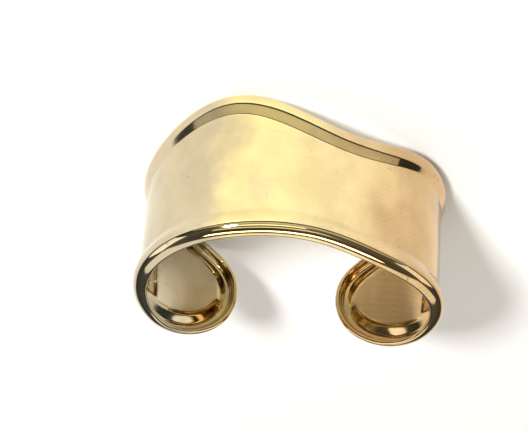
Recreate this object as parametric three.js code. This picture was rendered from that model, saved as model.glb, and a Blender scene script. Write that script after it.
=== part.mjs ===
// Cuff bracelet: one band of formed sheet metal, bent round the wrist and open underneath.
// A rolled rim runs round the whole edge of the band, both rounded ends included, and the
// rear edge rises and falls in waves over the top of the wrist.
// Millimetres, +Z up. The cuff lies on its wavy edge as it settles by itself on a flat surface,
// with the top of the arch toward -Y and the gap between the ends toward +Y.
// The band is worked out in its own frame first: X across the wrist, Y along the wrist
// (the plain edge at -Y, the wavy edge at +Y) and Z up through the top of the arch.
import * as THREE from 'three';

const SHEET = 1.2;

// Reach of the sheet's middle from the wrist's centre, and how it swells and leans round the arch:
// each row adds a wave of so many turns, tall at the top of the arch and leaning to the right
const REACH = 28;
const ROUND = [
  { turns: 1, tall: -0.2, lean: -0.8 },
  { turns: 2, tall: -2.3, lean: -0.8 },
  { turns: 3, tall: 0.6, lean: -1.1 },
];

// Angle from the top of the arch to the tip of each end
const TIP_LEFT = 156;
const TIP_RIGHT = 155;

// Half-widths of the band along the wrist, and the swellings of its two edges
const PLAIN = 14.6;
const WAVY = 12.8;
const SWELLS = [
  { angle: -26, spread: 32, plain: -0.2, wavy: 5.7 },
  { angle: 15, spread: 32, plain: -1.5, wavy: 0 },
  { angle: 75, spread: 32, plain: -0.5, wavy: 3.8 },
];

// The rounded ends: the length of band that is rounded, and how square it is
const END_LENGTH = 23;
const END_SQUARE = 2.2;

// The rolled rim, along the middle of the sheet: it turns up from the band, climbs straight, and
// rolls over and back down
const RISE_LENGTH = 1.2;
const RISE_TURN = 24;
const CLIMB_LENGTH = 1.1;
const ROLL_LENGTH = 3.9;
const ROLL_TURN = 104;

// How the cuff leans when it lies on the wavy edge, in degrees about X and about Y
const REST_X = -8.1;
const REST_Y = 1.25;

// Facets
const STATIONS = 72;
const END_STATIONS = 1 / 6;
const ACROSS = 6;
const RISE_STEPS = 3;
const CLIMB_STEPS = 1;
const ROLL_STEPS = 7;
const EDGE_STEPS = 4;
const PATH_STEPS = 720;

const rad = THREE.MathUtils.degToRad;

function reachAt(angle) {
  let reach = REACH;
  for (const wave of ROUND) {
    reach += wave.tall * Math.cos(wave.turns * angle) + wave.lean * Math.sin(wave.turns * angle);
  }
  return reach;
}

// The bent path of the band, from the left tip to the right tip, with the length walked along it
function makePath() {
  const rows = [];
  let walked = 0;
  for (let i = 0; i <= PATH_STEPS; i += 1) {
    const angle = rad(-TIP_LEFT + (TIP_LEFT + TIP_RIGHT) * i / PATH_STEPS);
    const x = reachAt(angle) * Math.sin(angle);
    const z = reachAt(angle) * Math.cos(angle);
    if (i > 0) walked += Math.hypot(x - rows[i - 1].x, z - rows[i - 1].z);
    rows.push({ angle, x, z, walked });
  }
  return rows;
}

const path = makePath();
const LENGTH = path[PATH_STEPS].walked;

// The place on the bent path at a length walked from the left tip, with its outward normal
function onPath(walked) {
  let low = 0;
  let high = PATH_STEPS;
  while (high - low > 1) {
    const middle = (low + high) >> 1;
    if (path[middle].walked > walked) high = middle;
    else low = middle;
  }
  const a = path[low];
  const b = path[high];
  const share = (walked - a.walked) / (b.walked - a.walked);
  const before = path[Math.max(low - 1, 0)];
  const after = path[Math.min(high + 1, PATH_STEPS)];
  const tangentX = (b.x - before.x) * (1 - share) + (after.x - a.x) * share;
  const tangentZ = (b.z - before.z) * (1 - share) + (after.z - a.z) * share;
  const size = Math.hypot(tangentX, tangentZ);
  return {
    angle: a.angle + (b.angle - a.angle) * share,
    x: a.x + (b.x - a.x) * share,
    z: a.z + (b.z - a.z) * share,
    outX: -tangentZ / size,
    outZ: tangentX / size,
  };
}

// Stations run from 0 at the left tip to 1 at the right tip. A station just past a tip is on the
// other edge, so the outline is smooth there.
function stationAt(value) {
  const inside = Math.abs(value > 1 ? 2 - value : value);
  const fromTip = Math.min(inside, 1 - inside);
  let walked;
  let share = 1;
  if (fromTip < END_STATIONS) {
    const turn = Math.PI / 2 * fromTip / END_STATIONS;
    walked = END_LENGTH * (1 - Math.pow(Math.cos(turn), 2 / END_SQUARE));
    share = Math.pow(Math.sin(turn), 2 / END_SQUARE);
  } else {
    const middle = (fromTip - END_STATIONS) / (0.5 - END_STATIONS);
    walked = END_LENGTH + (LENGTH / 2 - END_LENGTH) * middle;
  }
  if (inside > 0.5) walked = LENGTH - walked;
  return { walked, share, crossed: value < 0 || value > 1 };
}

// A point of the band's outline, laid flat: the length along the band and Y across it.
// side is -1 for the plain edge and 1 for the wavy edge
function outlineAt(value, side) {
  const { walked, share, crossed } = stationAt(value);
  const way = crossed ? -side : side;
  const { angle } = onPath(walked);
  let half = way < 0 ? PLAIN : WAVY;
  for (const swell of SWELLS) {
    const near = Math.exp(-(((angle - rad(swell.angle)) / rad(swell.spread)) ** 2));
    half += (way < 0 ? swell.plain : swell.wavy) * near;
  }
  return { walked, y: way * half * share };
}

// A point of the outline with the direction into the band, laid flat
function edgeAt(value, side) {
  const step = 1e-4;
  const here = outlineAt(value, side);
  const before = outlineAt(value - step, side);
  const after = outlineAt(value + step, side);
  const alongWalked = after.walked - before.walked;
  const alongY = after.y - before.y;
  const size = Math.hypot(alongWalked, alongY);
  return {
    walked: here.walked,
    y: here.y,
    inWalked: side * alongY / size,
    inY: -side * alongWalked / size,
  };
}

// The section of the rolled rim: how far in from the outline, and how far out from the middle of
// the sheet. It starts at the band's outer skin, rounds the sheet's edge and ends at the inner skin
function rimSection() {
  const smooth = (t) => t * t * (3 - 2 * t);
  const middle = [{ go: 0, out: 0, heading: 0 }];
  const fine = 40;
  const walk = (length, from, turn, steps) => {
    for (let i = 1; i <= steps * fine; i += 1) {
      const last = middle[middle.length - 1];
      const heading = from + turn * smooth((i - 0.5) / (steps * fine));
      const step = length / (steps * fine);
      middle.push({
        go: last.go + Math.cos(heading) * step,
        out: last.out + Math.sin(heading) * step,
        heading: from + turn * smooth(i / (steps * fine)),
      });
    }
  };
  walk(RISE_LENGTH, 0, rad(RISE_TURN), RISE_STEPS);
  walk(CLIMB_LENGTH, rad(RISE_TURN), 0, CLIMB_STEPS);
  walk(ROLL_LENGTH, rad(RISE_TURN), -rad(ROLL_TURN), ROLL_STEPS);
  const kept = middle.filter((_, i) => i % fine === 0);
  const skin = (p, way) => ({
    go: p.go - way * Math.sin(p.heading) * SHEET / 2,
    out: p.out + way * Math.cos(p.heading) * SHEET / 2,
  });
  const section = kept.map((p) => skin(p, 1));
  const tip = kept[kept.length - 1];
  for (let i = 1; i < EDGE_STEPS; i += 1) {
    const turn = tip.heading + Math.PI / 2 - Math.PI * i / EDGE_STEPS;
    section.push({
      go: tip.go + Math.cos(turn) * SHEET / 2,
      out: tip.out + Math.sin(turn) * SHEET / 2,
    });
  }
  section.push(...kept.map((p) => skin(p, -1)).reverse());
  const reach = Math.max(...section.map((p) => p.go));
  return section.map((p) => ({ inward: reach - p.go, out: p.out }));
}

// A flat place on the band, bent round the wrist, a distance out from the middle of the sheet
function bend(walked, y, out) {
  const at = onPath(walked);
  return [at.x + at.outX * out, y, at.z + at.outZ * out];
}

// The closed skin of the cuff: rim sections at every station of both edges, and the band between
function cuffGeometry() {
  const section = rimSection();
  const last = section.length - 1;
  const positions = [];
  const faces = [];
  const add = (p) => positions.push(p) - 1;
  const quad = (a, b, c, d) => {
    if (a !== b && b !== c && a !== c) faces.push([a, b, c]);
    if (a !== c && c !== d && a !== d) faces.push([a, c, d]);
  };
  const rows = [];
  for (let i = 0; i <= STATIONS; i += 1) {
    const tip = i === 0 || i === STATIONS;
    const rims = [-1, 1].map((side) => {
      const edge = edgeAt(i / STATIONS, side);
      return section.map((p) => ({
        walked: edge.walked + edge.inWalked * p.inward,
        y: edge.y + edge.inY * p.inward,
        out: p.out,
      }));
    });
    const ids = rims.map((rim) => rim.map((p) => (
      tip && rim === rims[1] ? -1 : add(bend(p.walked, p.y, p.out)))));
    if (tip) ids[1] = ids[0];
    const across = [0, last].map((end) => {
      const line = [ids[0][end]];
      for (let j = 1; j < ACROSS; j += 1) {
        const [a, b] = [rims[0][end], rims[1][end]];
        const share = j / ACROSS;
        line.push(tip ? ids[0][end] : add(bend(
          a.walked + (b.walked - a.walked) * share,
          a.y + (b.y - a.y) * share,
          a.out,
        )));
      }
      line.push(ids[1][end]);
      return line;
    });
    rows.push({ plain: ids[0], wavy: ids[1], outer: across[0], inner: across[1] });
  }
  for (let i = 0; i < STATIONS; i += 1) {
    const [a, b] = [rows[i], rows[i + 1]];
    for (let j = 0; j < last; j += 1) {
      quad(a.plain[j], a.plain[j + 1], b.plain[j + 1], b.plain[j]);
      quad(a.wavy[j], b.wavy[j], b.wavy[j + 1], a.wavy[j + 1]);
    }
    for (let j = 0; j < ACROSS; j += 1) {
      quad(a.outer[j], b.outer[j], b.outer[j + 1], a.outer[j + 1]);
      quad(a.inner[j], a.inner[j + 1], b.inner[j + 1], b.inner[j]);
    }
  }
  const geometry = new THREE.BufferGeometry();
  geometry.setAttribute('position', new THREE.Float32BufferAttribute(positions.flat(), 3));
  geometry.setIndex(faces.flat());
  geometry.computeVertexNormals();
  return geometry;
}

// From the band's own frame to the cuff lying on its wavy edge
function layDown(geometry) {
  const lying = new THREE.Matrix4().set(-1, 0, 0, 0, 0, 0, -1, 0, 0, -1, 0, 0, 0, 0, 0, 1);
  const lean = new THREE.Matrix4().makeRotationX(rad(REST_X));
  lean.multiply(new THREE.Matrix4().makeRotationY(rad(REST_Y)));
  geometry.applyMatrix4(lying).applyMatrix4(lean);
  geometry.computeBoundingBox();
  const { min, max } = geometry.boundingBox;
  geometry.translate(-(min.x + max.x) / 2, -(min.y + max.y) / 2, -min.z);
}

const gold = new THREE.MeshStandardMaterial({ color: 0xe3c06b, roughness: 0.12, metalness: 1 });
gold.name = 'polished_gold';

const skin = cuffGeometry();
layDown(skin);
const cuff = new THREE.Mesh(skin, gold);
cuff.name = 'cuff';

const part = new THREE.Group();
part.name = 'cuff_bracelet';
part.add(cuff);

export default part;
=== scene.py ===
"""Looks of the cuff bracelet: a fine mesh of the band over its CAD solid, polished gold, a pale
floor, soft studio light and the camera. Metres, in the row frame."""

import math

import bpy
import numpy as np
from mathutils import Matrix, Vector


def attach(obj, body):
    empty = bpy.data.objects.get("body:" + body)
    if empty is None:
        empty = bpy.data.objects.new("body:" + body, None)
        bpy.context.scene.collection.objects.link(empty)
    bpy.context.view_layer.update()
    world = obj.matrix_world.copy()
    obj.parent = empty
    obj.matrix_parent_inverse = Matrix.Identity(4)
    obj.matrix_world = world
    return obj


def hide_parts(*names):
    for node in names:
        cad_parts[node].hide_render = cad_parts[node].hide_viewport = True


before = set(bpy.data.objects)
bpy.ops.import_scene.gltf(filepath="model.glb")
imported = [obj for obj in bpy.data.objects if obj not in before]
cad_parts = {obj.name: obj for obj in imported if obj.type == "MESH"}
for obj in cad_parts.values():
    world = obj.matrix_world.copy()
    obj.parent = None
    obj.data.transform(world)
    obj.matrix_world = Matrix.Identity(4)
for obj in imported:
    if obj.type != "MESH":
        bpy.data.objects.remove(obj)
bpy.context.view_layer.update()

MM = 0.001

# ---- The cuff's own shape, in millimetres and degrees, as the CAD solid has it ----
# It is worked out in the band's own frame: X across the wrist, Y along the wrist (the plain
# edge at -Y, the wavy edge at +Y) and Z up through the top of the arch
SHEET = 1.2

# Reach of the sheet's middle from the wrist's centre, and the waves that swell and lean it
REACH = 28.0
ROUND = [
    {"turns": 1, "tall": -0.2, "lean": -0.8},
    {"turns": 2, "tall": -2.3, "lean": -0.8},
    {"turns": 3, "tall": 0.6, "lean": -1.1},
]

# Angle from the top of the arch to the tip of each end
TIP_LEFT = 156
TIP_RIGHT = 155

# Half-widths of the band along the wrist, and the swellings of its two edges
PLAIN = 14.6
WAVY = 12.8
SWELLS = [
    {"angle": -26, "spread": 32, "plain": -0.2, "wavy": 5.7},
    {"angle": 15, "spread": 32, "plain": -1.5, "wavy": 0.0},
    {"angle": 75, "spread": 32, "plain": -0.5, "wavy": 3.8},
]

# The rounded ends: the length of band that is rounded, and how square it is
END_LENGTH = 23.0
END_SQUARE = 2.2

# The rolled rim, along the middle of the sheet: rise, straight climb, roll over and down
RISE_LENGTH = 1.2
RISE_TURN = 24
CLIMB_LENGTH = 1.1
ROLL_LENGTH = 3.9
ROLL_TURN = 104

# How the cuff leans when it lies on the wavy edge, about X and about Y
REST_X = -8.1
REST_Y = 1.25

# Facets of the fine mesh
STATIONS = 360
END_STATIONS = 1 / 6
ACROSS = 36
RISE_STEPS = 10
CLIMB_STEPS = 4
ROLL_STEPS = 24
EDGE_STEPS = 8
PATH_STEPS = 2880


def make_path():
    """The bent path of the band, from the left tip to the right tip."""
    angle = np.radians(np.linspace(-TIP_LEFT, TIP_RIGHT, PATH_STEPS + 1))
    reach = REACH + sum(
        w["tall"] * np.cos(w["turns"] * angle) + w["lean"] * np.sin(w["turns"] * angle)
        for w in ROUND
    )
    x, z = reach * np.sin(angle), reach * np.cos(angle)
    walked = np.r_[0, np.cumsum(np.hypot(np.diff(x), np.diff(z)))]
    along_x, along_z = np.gradient(x, walked), np.gradient(z, walked)
    size = np.hypot(along_x, along_z)
    return {
        "angle": angle,
        "x": x,
        "z": z,
        "walked": walked,
        "out_x": -along_z / size,
        "out_z": along_x / size,
    }


PATH = make_path()
LENGTH = PATH["walked"][-1]


def on_path(walked, key):
    return np.interp(walked, PATH["walked"], PATH[key])


def outline(value, side):
    """Points of the band's outline laid flat, at stations from 0 at the left tip to 1 at the right."""
    inside = np.abs(np.where(value > 1, 2 - value, value))
    from_tip = np.minimum(inside, 1 - inside)
    turn = np.pi / 2 * np.minimum(from_tip / END_STATIONS, 1)
    in_end = from_tip < END_STATIONS
    middle = (from_tip - END_STATIONS) / (0.5 - END_STATIONS)
    walked = np.where(
        in_end,
        END_LENGTH * (1 - np.cos(turn) ** (2 / END_SQUARE)),
        END_LENGTH + (LENGTH / 2 - END_LENGTH) * middle,
    )
    share = np.where(in_end, np.sin(turn) ** (2 / END_SQUARE), 1.0)
    walked = np.where(inside > 0.5, LENGTH - walked, walked)
    way = np.where((value < 0) | (value > 1), -side, side)
    angle = on_path(walked, "angle")
    half = np.where(way < 0, PLAIN, WAVY)
    for swell in SWELLS:
        near = np.exp(-(((angle - math.radians(swell["angle"])) / math.radians(swell["spread"])) ** 2))
        half = half + np.where(way < 0, swell["plain"], swell["wavy"]) * near
    return walked, way * half * share


def edge(value, side):
    """Points of the outline with the direction into the band, laid flat."""
    step = 1e-4
    walked, y = outline(value, side)
    before, after = outline(value - step, side), outline(value + step, side)
    along_walked, along_y = after[0] - before[0], after[1] - before[1]
    size = np.hypot(along_walked, along_y)
    return walked, y, side * along_y / size, -side * along_walked / size


def rim_section():
    """The section of the rolled rim: distance in from the outline, and out from the sheet's middle."""
    fine = 12
    go, out, heading = [0.0], [0.0], [0.0]
    bends = [
        (RISE_LENGTH, 0.0, math.radians(RISE_TURN), RISE_STEPS * fine),
        (CLIMB_LENGTH, math.radians(RISE_TURN), 0.0, CLIMB_STEPS * fine),
        (ROLL_LENGTH, math.radians(RISE_TURN), -math.radians(ROLL_TURN), ROLL_STEPS * fine),
    ]
    for length, start, turn, count in bends:
        for i in range(1, count + 1):
            middle, end = (i - 0.5) / count, i / count
            facing = start + turn * middle**2 * (3 - 2 * middle)
            go.append(go[-1] + math.cos(facing) * length / count)
            out.append(out[-1] + math.sin(facing) * length / count)
            heading.append(start + turn * end**2 * (3 - 2 * end))
    go, out, heading = (np.array(row)[::fine] for row in (go, out, heading))
    half = SHEET / 2
    cap = heading[-1] + np.pi / 2 - np.pi * np.arange(1, EDGE_STEPS) / EDGE_STEPS
    all_go = np.r_[
        go - np.sin(heading) * half,
        go[-1] + np.cos(cap) * half,
        (go + np.sin(heading) * half)[::-1],
    ]
    all_out = np.r_[
        out + np.cos(heading) * half,
        out[-1] + np.sin(cap) * half,
        (out - np.cos(heading) * half)[::-1],
    ]
    return all_go.max() - all_go, all_out


def bend(walked, y, out):
    """Flat places on the band, bent round the wrist, at a distance out from the sheet's middle."""
    out_x, out_z = on_path(walked, "out_x"), on_path(walked, "out_z")
    size = np.hypot(out_x, out_z)
    return np.stack(
        [
            on_path(walked, "x") + out_x / size * out,
            y + 0 * walked,
            on_path(walked, "z") + out_z / size * out,
        ],
        -1,
    )


def lean_matrix():
    """From the band's own frame to the cuff lying on its wavy edge, without the shift."""
    lying = Matrix(((-1, 0, 0), (0, 0, -1), (0, -1, 0)))
    about_x = Matrix.Rotation(math.radians(REST_X), 3, "X")
    about_y = Matrix.Rotation(math.radians(REST_Y), 3, "Y")
    return about_x @ about_y @ lying


LEAN = np.array(lean_matrix())


def quads(grid, flipped):
    """Four-cornered faces over a grid of point numbers."""
    a, b, c, d = grid[:-1, :-1], grid[1:, :-1], grid[1:, 1:], grid[:-1, 1:]
    order = (a, d, c, b) if flipped else (a, b, c, d)
    return np.stack(order, -1).reshape(-1, 4)


def without_repeats(faces):
    """Faces with corners that are one point merged, and those with fewer than 3 corners left out."""
    kept = []
    for face in faces:
        corners = [int(number) for i, number in enumerate(face) if number != face[i - 1]]
        if len(corners) > 2:
            kept.append(corners)
    return kept


def cuff_mesh(name):
    """The closed skin of the cuff in the row frame, and the point that was shifted to the origin."""
    inward, out = rim_section()
    last = len(inward) - 1
    value = np.linspace(0, 1, STATIONS + 1)
    flat = []
    for side in (-1, 1):
        walked, y, in_walked, in_y = edge(value, side)
        flat.append(
            (walked[:, None] + in_walked[:, None] * inward, y[:, None] + in_y[:, None] * inward)
        )
    share = np.linspace(0, 1, ACROSS + 1)[None, 1:-1]

    def field(end):
        w0, w1 = flat[0][0][:, end, None], flat[1][0][:, end, None]
        y0, y1 = flat[0][1][:, end, None], flat[1][1][:, end, None]
        return bend(w0 + (w1 - w0) * share, y0 + (y1 - y0) * share, out[end] + 0 * share)

    plain = bend(flat[0][0], flat[0][1], out[None] + 0 * flat[0][0])
    wavy = bend(flat[1][0], flat[1][1], out[None] + 0 * flat[1][0])
    blocks = [plain, wavy, field(0), field(last)]
    ids, points, count = [], [], 0
    for block in blocks:
        rows, columns = block.shape[:2]
        ids.append(count + np.arange(rows * columns).reshape(rows, columns))
        points.append(block.reshape(-1, 3))
        count += rows * columns
    for tip in (0, STATIONS):
        ids[1][tip] = ids[0][tip]
        ids[2][tip] = ids[0][tip, 0]
        ids[3][tip] = ids[0][tip, last]
    outer = np.c_[ids[0][:, 0], ids[2], ids[1][:, 0]]
    inner = np.c_[ids[0][:, last], ids[3], ids[1][:, last]]

    faces = np.concatenate(
        [quads(ids[0], True), quads(ids[1], False), quads(outer, False), quads(inner, True)]
    )
    points = np.concatenate(points) @ LEAN.T
    used = np.unique(faces)
    low, high = points[used].min(0), points[used].max(0)
    centre = np.array([(low[0] + high[0]) / 2, (low[1] + high[1]) / 2, low[2]])
    points = (points - centre) * MM
    renumber = -np.ones(len(points), int)
    renumber[used] = np.arange(len(used))
    mesh = bpy.data.meshes.new(name)
    mesh.from_pydata(points[used].tolist(), [], without_repeats(renumber[faces]))
    mesh.shade_smooth()
    mesh.update()
    made = bpy.data.objects.new(name, mesh)
    bpy.context.scene.collection.objects.link(made)
    return made, centre


cuff, centre_mm = cuff_mesh("cuff_band")
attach(cuff, "root")
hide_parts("cuff")


def to_row(point_mm):
    """A place given in the band's own frame, in millimetres, as a place in the row frame, in metres."""
    return Vector((LEAN @ np.array(point_mm) - centre_mm) * MM)


# ---- Shader nodes ----
def math_node(tree, kind, first, second):
    node = tree.nodes.new("ShaderNodeMath")
    node.operation = kind
    for socket, value in zip(node.inputs, (first, second)):
        if isinstance(value, (int, float)):
            socket.default_value = value
        else:
            tree.links.new(value, socket)
    return node.outputs[0]


def noise_node(tree, vector, scale, detail=3.0, distortion=0.0):
    node = tree.nodes.new("ShaderNodeTexNoise")
    node.inputs["Scale"].default_value = scale
    node.inputs["Detail"].default_value = detail
    node.inputs["Distortion"].default_value = distortion
    tree.links.new(vector, node.inputs["Vector"])
    return node.outputs["Fac"]


def ramp_node(tree, value, stops):
    node = tree.nodes.new("ShaderNodeValToRGB")
    elements = node.color_ramp.elements
    elements[0].position, elements[0].color = stops[0]
    elements[1].position, elements[1].color = stops[-1]
    for position, colour in stops[1:-1]:
        elements.new(position).color = colour
    tree.links.new(value, node.inputs[0])
    return node.outputs[0]


def grey(level):
    return (level, level, level, 1)


def multiply_colour(tree, colour, layer, factor):
    """A colour multiplied by a layer of greys, as far as the factor says."""
    node = tree.nodes.new("ShaderNodeMix")
    node.data_type = "RGBA"
    node.blend_type = "MULTIPLY"
    if isinstance(factor, float):
        node.inputs["Factor"].default_value = factor
    else:
        tree.links.new(factor, node.inputs["Factor"])
    tree.links.new(colour, node.inputs["A"])
    tree.links.new(layer, node.inputs["B"])
    return node.outputs["Result"]


def mapped(tree, vector, **settings):
    """A vector moved, turned or stretched by a Mapping node."""
    node = tree.nodes.new("ShaderNodeMapping")
    for name, value in settings.items():
        node.inputs[name].default_value = value
    tree.links.new(vector, node.inputs["Vector"])
    return node.outputs["Vector"]


# ---- Polished gold ----
# Painted reflections: across the cuff the gold is toned greyer on one side and warmer on the other, as
# mirrored surroundings would make it
# Share of the way across the cuff: SHARE_START metres is added to X, and times SHARE_SCALE
SHARE_START, SHARE_SCALE = 0.040, 10
SHARE_WANDER = 0.030
# Where along that share the gold is warm, pale yellow and greyer, a painted reflection of its
# surroundings
PAINTED_REFLECTION_TONES = [
    (0.34, (0.70, 0.48, 0.24, 1)),
    (0.47, (0.88, 0.72, 0.38, 1)),
    (0.64, (0.91, 0.75, 0.35, 1)),
    (0.72, (0.60, 0.51, 0.34, 1)),
]
# Arcs of painted reflected stripes: how close they lie, how much they waver, and where their centre is
ARC_SCALE, ARC_WAVER = 380, 1.5
ARC_CENTRE = (-0.005, 0.045, 0.020)
# Scratches run two ways: the turn about Z (radians) and the stretch along X, Y and Z
SCRATCH_WAYS = [(0.5, (900, 60, 900)), (-0.9, (60, 900, 700))]
SCRATCH_ROUGHNESS, SCRATCH_DEPTH = 0.16, -0.012
DENT_DEPTH = 0.9
BUMP_STRENGTH, BUMP_DISTANCE = 0.35, 0.0006


def painted_reflection_share(tree, place):
    """The way across the cuff from the warm side to the grey side of its painted reflection, wandering
    a little.
    """
    split = tree.nodes.new("ShaderNodeSeparateXYZ")
    tree.links.new(place, split.inputs[0])
    wander = math_node(tree, "MULTIPLY", noise_node(tree, place, 70, 3, 0.5), SHARE_WANDER)
    along = math_node(tree, "ADD", split.outputs["X"], wander)
    return math_node(tree, "MULTIPLY", math_node(tree, "ADD", along, SHARE_START), SHARE_SCALE)


def painted_reflected_stripes(tree, place):
    """Faint fine arcs, a painted reflection of stripes, as greys to multiply the gold by."""
    arcs = tree.nodes.new("ShaderNodeTexWave")
    arcs.wave_type = "RINGS"
    arcs.rings_direction = "SPHERICAL"
    arcs.inputs["Scale"].default_value = ARC_SCALE
    arcs.inputs["Distortion"].default_value = ARC_WAVER
    tree.links.new(mapped(tree, place, Location=ARC_CENTRE), arcs.inputs["Vector"])
    return ramp_node(tree, arcs.outputs["Fac"], [(0.2, grey(0.86)), (0.7, grey(1))])


def scratch_marks(tree, place):
    """Hairline scratches, long thin cells in two directions, only where the gold is worn."""
    lines = []
    for turn, stretch in SCRATCH_WAYS:
        cells = mapped(tree, place, Rotation=(0.3 * turn, 0.2, turn), Scale=stretch)
        fine = noise_node(tree, cells, 1.0, 2)
        lines.append(ramp_node(tree, fine, [(0.66, grey(0)), (0.74, grey(1))]))
    both = math_node(tree, "MAXIMUM", lines[0], lines[1])
    worn = ramp_node(tree, noise_node(tree, place, 140, 3), [(0.42, grey(0)), (0.72, grey(1))])
    return math_node(tree, "MULTIPLY", both, worn)


def gold_material():
    """Polished yellow gold, with painted reflections toned across the cuff and painted reflected
    stripes, blotched, finely scratched and softly dented.
    """
    material = bpy.data.materials.new("polished_gold")
    material.use_nodes = True
    tree = material.node_tree
    shader = tree.nodes["Principled BSDF"]
    shader.inputs["Metallic"].default_value = 1.0
    place = tree.nodes.new("ShaderNodeTexCoord").outputs["Object"]
    marked = scratch_marks(tree, place)

    share = painted_reflection_share(tree, place)
    blotches = noise_node(tree, place, 110, 6, 0.2)
    layers = [
        (ramp_node(tree, blotches, [(0.38, grey(0.86)), (0.58, grey(1))]), 1.0),
        (ramp_node(tree, marked, [(0.0, grey(1)), (1.0, grey(0.72))]), 1.0),
        # Painted reflected stripes, only on the warm side of the painted reflection tones
        (
            painted_reflected_stripes(tree, place),
            ramp_node(tree, share, [(0.34, grey(0.35)), (0.47, grey(0))]),
        ),
    ]
    # Painted reflection: the gold toned warm, pale yellow and greyer across the cuff
    colour = ramp_node(tree, share, PAINTED_REFLECTION_TONES)
    for layer, factor in layers:
        colour = multiply_colour(tree, colour, layer, factor)
    tree.links.new(colour, shader.inputs["Base Color"])

    smudges = noise_node(tree, place, 60, 4, 0.6)
    smudged = ramp_node(tree, smudges, [(0.35, grey(0.045)), (0.75, grey(0.13))])
    scratched = math_node(tree, "MULTIPLY", marked, SCRATCH_ROUGHNESS)
    tree.links.new(math_node(tree, "ADD", smudged, scratched), shader.inputs["Roughness"])

    dents = math_node(tree, "MULTIPLY", noise_node(tree, place, 75, 1), DENT_DEPTH)
    grooves = math_node(tree, "MULTIPLY", marked, SCRATCH_DEPTH)
    bump = tree.nodes.new("ShaderNodeBump")
    bump.inputs["Strength"].default_value = BUMP_STRENGTH
    bump.inputs["Distance"].default_value = BUMP_DISTANCE
    tree.links.new(math_node(tree, "ADD", dents, grooves), bump.inputs["Height"])
    tree.links.new(bump.outputs["Normal"], shader.inputs["Normal"])
    return material


cuff.data.materials.append(gold_material())


# ---- Plain pale floor ----
FLOOR_SIZE = 6
FLOOR_COLOUR = (0.86, 0.86, 0.86, 1)
FLOOR_ROUGHNESS = 0.9

bpy.ops.mesh.primitive_plane_add(size=FLOOR_SIZE, location=(0, 0, 0))
floor = bpy.context.object
floor.name = "floor"
pale = bpy.data.materials.new("pale_floor")
pale.use_nodes = True
pale_shader = pale.node_tree.nodes["Principled BSDF"]
pale_shader.inputs["Base Color"].default_value = FLOOR_COLOUR
pale_shader.inputs["Roughness"].default_value = FLOOR_ROUGHNESS
floor.data.materials.append(pale)

# ---- Camera: in front of the top of the arch and above the floor, with the view turned over ----
# Worked out in the band's own frame: the angle above its plain edge and the roll (degrees), the
# distance (mm) and the lens (mm, on a 36 mm sensor)
VIEW_UP = 60.0
VIEW_ROLL = 4.0
VIEW_DISTANCE = 350.0
LENS = 114.545
SENSOR = 36.0
NEAR, FAR = 0.01, 10
# The point looked at, from the wrist's centre: to the right and up in the view
AIM_RIGHT, AIM_UP = -5.52, 5.67


def add_camera():
    tilt, roll = math.radians(VIEW_UP), math.radians(VIEW_ROLL)
    toward = np.array([0, -math.cos(tilt), math.sin(tilt)])
    right = np.array([1.0, 0, 0])
    up = np.array([0, math.sin(tilt), math.cos(tilt)])
    right, up = (
        right * math.cos(roll) + up * math.sin(roll),
        up * math.cos(roll) - right * math.sin(roll),
    )
    eye = to_row(toward * VIEW_DISTANCE)
    target = to_row(right * AIM_RIGHT + up * AIM_UP)
    back = (eye - target).normalized()
    up_row = Vector(LEAN @ up)
    side = up_row.cross(back).normalized()
    up_row = back.cross(side)
    data = bpy.data.cameras.new("camera")
    data.sensor_width = SENSOR
    data.lens = LENS
    data.clip_start, data.clip_end = NEAR, FAR
    camera = bpy.data.objects.new("camera", data)
    camera.matrix_world = Matrix(
        (
            (side.x, up_row.x, back.x, eye.x),
            (side.y, up_row.y, back.y, eye.y),
            (side.z, up_row.z, back.z, eye.z),
            (0, 0, 0, 1),
        )
    )
    bpy.context.scene.collection.objects.link(camera)
    bpy.context.scene.camera = camera


add_camera()


# ---- Light ----
AIM = Vector((0, 0, 0.015))


def add_area(name, location, size, power, colour):
    data = bpy.data.lights.new(name, "AREA")
    data.shape = "RECTANGLE"
    data.size, data.size_y = size
    data.energy = power
    data.color = colour
    lamp = bpy.data.objects.new(name, data)
    lamp.location = location
    away = AIM - Vector(location)
    lamp.rotation_mode = "QUATERNION"
    lamp.rotation_quaternion = away.to_track_quat("-Z", "Y")
    bpy.context.scene.collection.objects.link(lamp)


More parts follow.
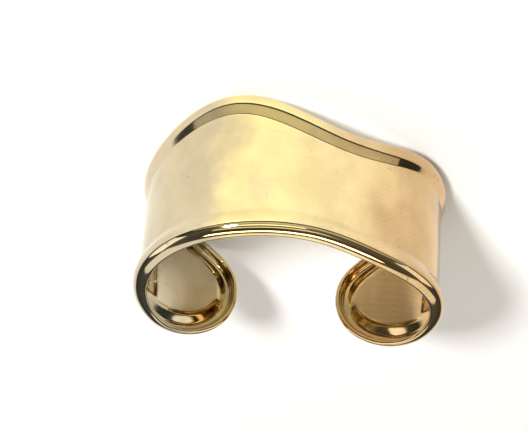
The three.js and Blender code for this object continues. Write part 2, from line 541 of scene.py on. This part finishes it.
# Name, turn from the front towards +X and height above the floor (degrees), distance (m),
# width and height (m), radiance, colour
LAMPS = [
    ("key", 30, 36, 0.74, (0.12, 0.12), 200.0, (1.0, 1.0, 1.0)),
    ("front_soft", 0, 42, 0.70, (0.80, 0.12), 2.5, (1.0, 0.97, 0.90)),
    ("low_front", -8, 21, 0.75, (4.20, 0.24), 0.85, (1.0, 0.91, 0.72)),
    ("top_soft", 0, 66, 0.70, (0.90, 0.12), 1.5, (1.0, 0.93, 0.80)),
    ("inner_soft", 180, 74, 0.60, (0.50, 0.09), 10.0, (1.0, 0.94, 0.84)),
    ("back_soft", 180, 42, 0.55, (0.90, 0.26), 1.5, (1.0, 0.98, 0.93)),
    ("left_soft", 100, 22, 0.65, (0.40, 0.30), 2.2, (1.0, 0.98, 0.95)),
    ("right_soft", -95, 22, 0.65, (0.40, 0.30), 1.8, (1.0, 0.98, 0.95)),
]


def round_the_cuff(turn, height, distance):
    """A place round the cuff, in the row frame."""
    turn, height = math.radians(turn), math.radians(height)
    across = distance * math.cos(height)
    return (across * math.sin(turn), -across * math.cos(turn), distance * math.sin(height))


for lamp_name, turn, height, distance, size, radiance, colour in LAMPS:
    place = round_the_cuff(turn, height, distance)
    add_area(lamp_name, place, size, radiance * math.pi * size[0] * size[1], colour)

# Dim surroundings, from the horizon (0) to straight up (1)
SURROUNDINGS = [
    (0.0, (0.055, 0.065, 0.065, 1)),
    (0.30, (0.11, 0.115, 0.115, 1)),
    (0.60, (0.20, 0.18, 0.16, 1)),
    (1.0, (0.07, 0.055, 0.035, 1)),
]
EXPOSURE = -0.50

world = bpy.data.worlds.new("studio")
bpy.context.scene.world = world
world.use_nodes = True
sky = world.node_tree
direction = sky.nodes.new("ShaderNodeTexCoord").outputs["Generated"]
height_split = sky.nodes.new("ShaderNodeSeparateXYZ")
sky.links.new(direction, height_split.inputs[0])
dim = ramp_node(sky, height_split.outputs["Z"], SURROUNDINGS)
sky.links.new(dim, sky.nodes["Background"].inputs["Color"])
bpy.context.scene.view_settings.view_transform = "Standard"
bpy.context.scene.view_settings.exposure = EXPOSURE
